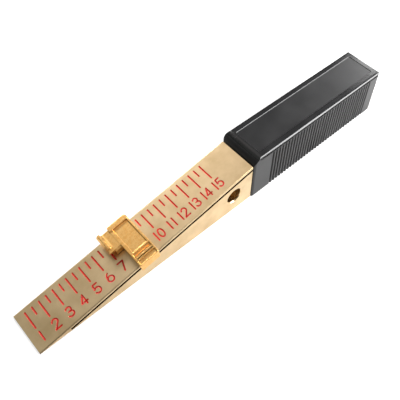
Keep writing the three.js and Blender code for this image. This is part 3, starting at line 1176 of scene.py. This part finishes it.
@dataclass
class Cursor:
    """The gilt cursor: a saddle with lips in the guide slots, a panel, grip steps and an index tongue."""

    form: WedgeForm
    reading: float = 6.9
    length: float = 7.7
    wall: float = 0.85
    running_gap: float = 0.25
    roof: float = 2.95
    lip_height: float = 0.45
    lip_reach: float = 0.55
    lip_length: float = 2.7
    slot_middle: float = -1.6
    edge_chamfer: float = 0.22
    front_slant: float = 0.44
    corner_chamfer: float = 0.45
    flange_width: float = 2.05
    flange_rise: float = 0.38
    sunk_depth: float = 0.3
    front_border: float = 1.2
    rear_border: float = 0.8
    near_border: float = 0.65
    shoulder_width: float = 4.45
    shoulder_drop: float = 0.75
    rim_rise: float = 0.15
    rim_width: float = 5.75
    rear_rounding: float = 0.5
    rear_steps: int = 6
    far_rounding: float = 1.1
    arc_steps: int = 8
    grip_border: float = 0.55
    # Grip pockets: where each starts and ends, as shares of the shoulder's width, and how far its floor
    # lies above the shoulder's foot, as a share of the shoulder's drop
    pocket_shares: tuple[Triple, ...] = (
        (0.0, 0.128, 0.42), (0.128, 0.315, -0.1), (0.434, 0.5, -0.15), (0.61, 0.955, -0.35))
    tongue_reach: float = 4.52
    tongue_width: float = 8.1
    tongue_inset: float = 0.85
    tongue_drop: float = 0.03
    tongue_dip: float = 0.02
    tongue_thickness: float = 0.75
    index_rise: float = 0.48
    index_thickness: float = 0.85
    index_ramp: float = 1.1
    index_bevel: float = 0.6
    index_nose: float = 0.2
    index_inset: float = 0.15
    index_notch: float = 1.3
    foot_reach: float = 2.5
    foot_step: float = 0.6
    foot_lap: float = 0.45
    pocket_length: float = 6.1
    pocket_width: float = 5.2
    pocket_depth: float = 1.1
    spring_thickness: float = 0.25
    spring_play: float = 0.3
    spring_steps: int = 24
    spring_softness: float = 0.05
    overrun: float = 1.0
    joint: float = 0.2
    # The casting's skin: corners are rounded by remeshing at this size and smoothing
    skin_size: float = 0.085
    skin_rounds: int = 4
    skin_pull: float = 0.5

    @property
    def half(self) -> float:
        """Half the cursor's width."""
        return self.form.half + self.running_gap + self.wall

    @property
    def flange(self) -> float:
        """Where the raised flange ends across."""
        return self.half - self.flange_width

    @property
    def shoulder(self) -> float:
        """Where the roof starts to fall towards the near side."""
        return -self.half + self.shoulder_width

    @property
    def place(self) -> Matrix:
        """The move from the cursor's own front end to its reading on the slope."""
        along = self.form.reading_place(self.reading) + self.tongue_reach
        return self.form.slope_matrix @ Matrix.Translation((along, 0, 0))

    def saddle(self) -> Piece:
        """Makes the saddle, open below, with its corners taken off.

        Returns:
            The saddle.
        """
        half, inner, gap = self.half, self.form.half + self.running_gap, self.running_gap
        sole = self.slot_middle - self.lip_height / 2
        high, near_top = self.roof + self.flange_rise, self.roof - self.shoulder_drop
        front, rear, far, slant = self.edge_chamfer, self.corner_chamfer, self.far_rounding, self.front_slant
        section = [(half, sole), (half, high - front), (half - front, high), (self.flange, high),
                   (self.flange, self.roof), (self.shoulder, self.roof), (-half + front, near_top),
                   (-half, near_top - front), (-half, sole), (-inner, sole), (-inner, gap), (inner, gap),
                   (inner, sole)]
        plan = [(0, -half + front), (front, -half), (self.length - rear, -half), (self.length, -half + rear),
                *arc((self.length - far, half - far), (far, far), 0, 90, self.arc_steps),
                (slant, half), (0, half - slant)]
        body = prism("index_cursor", section, Axis.ALONG, 0, self.length)
        combine(body, prism("plan", plan, Axis.UP, sole - self.overrun, high + self.overrun), Join.TRIM)
        return body

    def lips(self) -> Piece:
        """Makes the lips that run in the guide slots.

        Returns:
            The lips, as one object.
        """
        end = self.length - self.corner_chamfer
        low = self.slot_middle - self.lip_height / 2
        inner, outer = self.form.half - self.lip_reach, self.form.half + self.running_gap + self.joint
        parts = []
        for side in Side:
            near, far = sorted((side.value * inner, side.value * outer))
            parts.append(block("lip", (end - self.lip_length, near, low), (end, far, low + self.lip_height)))
        return merge("lips", parts)

    def tongue(self) -> Piece:
        """Makes the tongue, which curves up the back of a lip that overhangs the wedge.

        Returns:
            The tongue.
        """
        near, far, tip = self.half - self.tongue_width, self.half - self.tongue_inset, -self.tongue_reach
        root = self.roof - self.tongue_drop
        low = root - self.tongue_dip
        under, top = low - self.tongue_thickness, low + self.index_rise
        front = tip + self.index_bevel
        back = front + self.index_thickness
        dip_end = back + self.index_ramp
        ramp = arc((dip_end, top), (self.index_ramp, self.index_rise), 270, 180, self.arc_steps)
        side = [(self.joint, under), (self.joint, root), (0, root), *ramp, (front, top), (front, under)]
        tongue = prism("tongue", side, Axis.ACROSS, near, far)
        lip = [(back, under), (back, top), (front, top), (tip, under + self.index_nose), (tip, under)]
        combine(tongue, prism("lip", lip, Axis.ACROSS, near, self.half - self.index_inset), Join.ADD)
        combine(tongue, block("notch", (tip - self.overrun, near - self.overrun, low),
                              (dip_end, near + self.index_notch, top + self.overrun)))
        foot = block("foot", (-self.foot_reach, near - self.foot_step, self.running_gap),
                     (self.joint, far, under + self.foot_lap))
        combine(tongue, foot, Join.ADD)
        return tongue

    def rear_corner(self, level: float, near: float, far: float) -> Piece:
        """Makes the cutter that rounds the rear edge of the top between two places across.

        Args:
            level: The height of the top there.
            near: Where the rounding starts.
            far: Where it ends.

        Returns:
            The cutter.
        """
        radius, past, high = self.rear_rounding, self.length + self.overrun, level + self.overrun
        inset = self.length - radius
        curve = arc((inset, level - radius), (radius, radius), 0, 90, self.rear_steps)
        return prism("corner", [(past, level - radius), *curve, (inset, high), (past, high)],
                     Axis.ACROSS, near, far)

    def carve(self, body: Piece) -> None:
        """Cuts the sunk panel, the spring's pocket and the grip steps, and adds the tongue.

        Args:
            body: The saddle.
        """
        roof, gap, rear = self.roof, self.running_gap, self.length - self.rear_border
        near = self.shoulder + self.near_border
        combine(body, block("panel", (self.front_border, near, roof - self.sunk_depth),
                            (rear, self.flange, roof + self.flange_rise + self.overrun)))
        combine(body, self.tongue(), Join.ADD)
        start, half = (self.length - self.pocket_length) / 2, self.pocket_width / 2
        combine(body, block("pocket", (start, -half, gap - self.overrun),
                            (start + self.pocket_length, half, gap + self.pocket_depth)))
        for begin, end, floor in self.pocket_shares:
            level = roof - self.shoulder_drop + floor * self.shoulder_drop
            near, far = (self.shoulder - share * self.shoulder_width for share in (end, begin))
            combine(body, block("grip", (self.grip_border, near, level),
                                (self.length - self.grip_border, far, roof + self.overrun)))

    def cast_skin(self, body: Piece) -> None:
        """Rounds every corner a little, as a plated casting has them.

        Args:
            body: The sharp casting.
        """
        modify(body, "REMESH", mode="VOXEL", voxel_size=self.skin_size)
        modify(body, "SMOOTH", factor=self.skin_pull, iterations=self.skin_rounds)
        body.data.shade_smooth()

    def casting(self) -> None:
        """Makes the casting."""
        body = self.saddle()
        combine(body, self.lips(), Join.ADD)
        flange, high = self.flange, self.roof + self.flange_rise
        near, rim_top = flange - self.rim_width, self.roof + self.rim_rise
        combine(body, block("rim", (self.length - self.rear_border, near, self.roof - self.joint),
                            (self.length, flange + self.joint, rim_top)), Join.ADD)
        combine(body, self.rear_corner(rim_top, near, flange))
        combine(body, self.rear_corner(high, flange, self.half + self.overrun))
        self.carve(body)
        self.cast_skin(body)
        dress(body, GiltCasting())
        seat(body, "cursor", "cursor_body", self.place)

    def spring(self) -> None:
        """Makes the leaf spring: its ends bow up to the pocket's roof, its middle down to the wedge."""
        middle, low, steps = self.length / 2, self.spring_play, self.spring_steps
        reach = self.pocket_length / 2 - self.spring_play
        high = self.running_gap + self.pocket_depth - self.spring_play - self.spring_thickness
        shares = [2 * step / steps - 1 for step in range(steps + 1)]
        lower = [(middle + reach * share, high - (high - low) * (1 - share ** 2)) for share in shares]
        upper = [(x, z + self.spring_thickness) for x, z in reversed(lower)]
        half = self.pocket_width / 2 - self.spring_play
        strip = prism("bowed_spring", lower + upper, Axis.ACROSS, -half, half)
        soften_edges(strip, self.spring_softness)
        shade(strip)
        dress(strip, SpringBronze())
        seat(strip, "cursor", "cursor_spring", self.place)

    def build(self) -> None:
        """Makes the casting and its spring."""
        self.casting()
        self.spring()


@dataclass
class Studio:
    """A white table under soft light, and the camera at the photograph's angle."""

    # The camera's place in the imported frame, in millimetres, and its turn in degrees
    camera_place: Triple = (-83.129, -87.025, 172.107)
    camera_turn: Triple = (38.7792, -2.4552, -42.9681)
    # The photograph's frame and the camera solved in it, in pixels
    picture_width: float = 400.0
    focal_length: float = 563.914
    middle: Pair = (233.858, 158.677)
    sensor_width: float = 36.0
    clip_start: float = 0.01
    floor_half: float = 0.8
    floor_colour: str = "#C8C8C8"
    floor_glow: float = 0.6
    # The table's glow in reflections rises between these two places along it, in metres
    mirror_fade: Pair = (-0.07, 0.005)
    mirror_glow: Pair = (0.17, 0.57)
    # The soft boxes: where they hang and their sizes, in metres, and their powers in watts
    boxes: tuple[tuple[str, Triple, Pair, float], ...] = (
        ("near_box", (0.217, -0.205, 0.13), (0.2, 0.24), 2.4),
        ("end_box", (0.46, 0.1, 0.26), (0.2, 0.16), 1.1),
        ("far_box", (0.03, 0.28, 0.19), (0.14, 0.06), 1.0))
    room_strength: float = 2.0
    # The room's light in shares of its strength, from past the tip (0) to past the handle (1)
    room_stops: tuple[tuple[float, float, str], ...] = (
        (0.1, 0.15, "#EAF2E8"), (0.35, 0.27, "#F6F8EE"), (0.41, 0.16, "#FFF8F0"), (0.51, 0.3, "#FFF4EE"),
        (0.58, 0.5, "#FFF8F2"), (0.7, 0.15, "#FFFFFF"), (1.0, 0.21, "#FFFFFF"))
    # Its light also rises between these two heights, where 1 is straight up, from one share to the other
    height_fade: Pair = (0.35, 0.85)
    height_light: Pair = (0.06, 1.0)
    backdrop_colour: str = "#FFFFFF"

    def camera(self) -> None:
        """Sets the camera."""
        lens = bpy.data.cameras.new("camera")
        lens.sensor_width = self.sensor_width
        lens.lens = self.focal_length / self.picture_width * self.sensor_width
        lens.shift_x = (self.picture_width / 2 - self.middle[0]) / self.picture_width
        lens.shift_y = (self.middle[1] - self.picture_width / 2) / self.picture_width
        lens.clip_start = self.clip_start
        camera = put("camera", lens)
        camera.location = Vector(self.camera_place) * METRES
        camera.rotation_euler = Euler([math.radians(turn) for turn in self.camera_turn], "XYZ")
        bpy.context.scene.camera = camera

    def floor(self) -> None:
        """Lays the table: it shows white to the eye and in reflections, and keeps a soft shadow."""
        half = self.floor_half
        mesh = bpy.data.meshes.new("table")
        mesh.from_pydata([(-half, -half, 0), (half, -half, 0), (half, half, 0), (-half, half, 0)], [],
                         [(0, 1, 2, 3)])
        table = put("table", mesh)
        material, tree, output = blank_material("white_table")
        matt = add_node(tree, "ShaderNodeBsdfDiffuse", {"Color": linear_colour(self.floor_colour)})
        path = add_node(tree, "ShaderNodeLightPath")
        place = add_node(tree, "ShaderNodeTexCoord")
        parts = add_node(tree, "ShaderNodeSeparateXYZ", links={"Vector": place.outputs["Object"]})
        along = add_node(tree, "ShaderNodeMapRange", {
            "From Min": self.mirror_fade[0], "From Max": self.mirror_fade[1],
            "To Min": self.mirror_glow[0], "To Max": self.mirror_glow[1]}, {"Value": parts.outputs["X"]})
        mirrored = add_node(tree, "ShaderNodeMath", {"operation": "MULTIPLY"},
                            {0: path.outputs["Is Glossy Ray"], 1: along.outputs["Result"]})
        strength = add_node(tree, "ShaderNodeMath", {"operation": "MULTIPLY_ADD", 1: self.floor_glow},
                            {0: path.outputs["Is Camera Ray"], 2: mirrored.outputs["Value"]})
        glow = add_node(tree, "ShaderNodeEmission", links={"Strength": strength.outputs["Value"]})
        both = add_node(tree, "ShaderNodeAddShader",
                        links={0: matt.outputs["BSDF"], 1: glow.outputs["Emission"]})
        tree.links.new(both.outputs["Shader"], output.inputs["Surface"])
        table.data.materials.append(material)

    def lamps(self) -> None:
        """Hangs the soft boxes: on the handle's near side, past its end and past the wedge's far side."""
        for name, place, size, power in self.boxes:
            light = bpy.data.lights.new(name, "AREA")
            light.shape = "RECTANGLE"
            light.size, light.size_y = size
            light.energy = power
            lamp = put(name, light)
            lamp.location = place
            lamp.rotation_euler = Vector(place).to_track_quat("Z", "Y").to_euler()

    def room(self) -> None:
        """Surrounds the table with a bright ceiling that dims past the tip and towards the horizon."""
        world = bpy.data.worlds.new("room")
        bpy.context.scene.world = world
        world.use_nodes = True
        tree = world.node_tree
        tree.nodes.clear()
        output = add_node(tree, "ShaderNodeOutputWorld")
        place = add_node(tree, "ShaderNodeTexCoord")
        parts = add_node(tree, "ShaderNodeSeparateXYZ", links={"Vector": place.outputs["Generated"]})
        share = add_node(tree, "ShaderNodeMapRange", {"From Min": -1.0, "From Max": 1.0},
                         {"Value": parts.outputs["X"]})
        tint = add_node(tree, "ShaderNodeValToRGB", links={"Fac": share.outputs["Result"]})
        stops = tint.color_ramp.elements
        while len(stops) < len(self.room_stops):
            stops.new(0.5)
        for stop, (position, light, colour) in zip(stops, self.room_stops):
            stop.position = position
            stop.color = [part * light for part in linear_colour(colour)]
        height = add_node(tree, "ShaderNodeMapRange", {
            "interpolation_type": "SMOOTHSTEP",
            "From Min": self.height_fade[0], "From Max": self.height_fade[1],
            "To Min": self.height_light[0] * self.room_strength,
            "To Max": self.height_light[1] * self.room_strength}, {"Value": parts.outputs["Z"]})
        room = add_node(tree, "ShaderNodeBackground",
                        links={"Color": tint.outputs["Color"], "Strength": height.outputs["Result"]})
        path = add_node(tree, "ShaderNodeLightPath")
        backdrop = add_node(tree, "ShaderNodeBackground", {"Color": linear_colour(self.backdrop_colour)})
        mix = add_node(tree, "ShaderNodeMixShader", links={
            0: path.outputs["Is Camera Ray"], 1: room.outputs["Background"],
            2: backdrop.outputs["Background"]})
        tree.links.new(mix.outputs["Shader"], output.inputs["Surface"])

    def build(self) -> None:
        """Sets up the camera, the table and the light."""
        self.camera()
        self.floor()
        self.lamps()
        self.room()
        bpy.context.scene.view_settings.view_transform = "Standard"


def main() -> None:
    """Builds the gauge piece by piece."""
    logging.basicConfig(level=logging.INFO, format="%(name)s: %(message)s")
    Studio().build()
    form = WedgeForm()
    for part in (WedgeBlade(form), Handle(form), Cursor(form)):
        part.build()


if __name__ == "__main__":
    main()
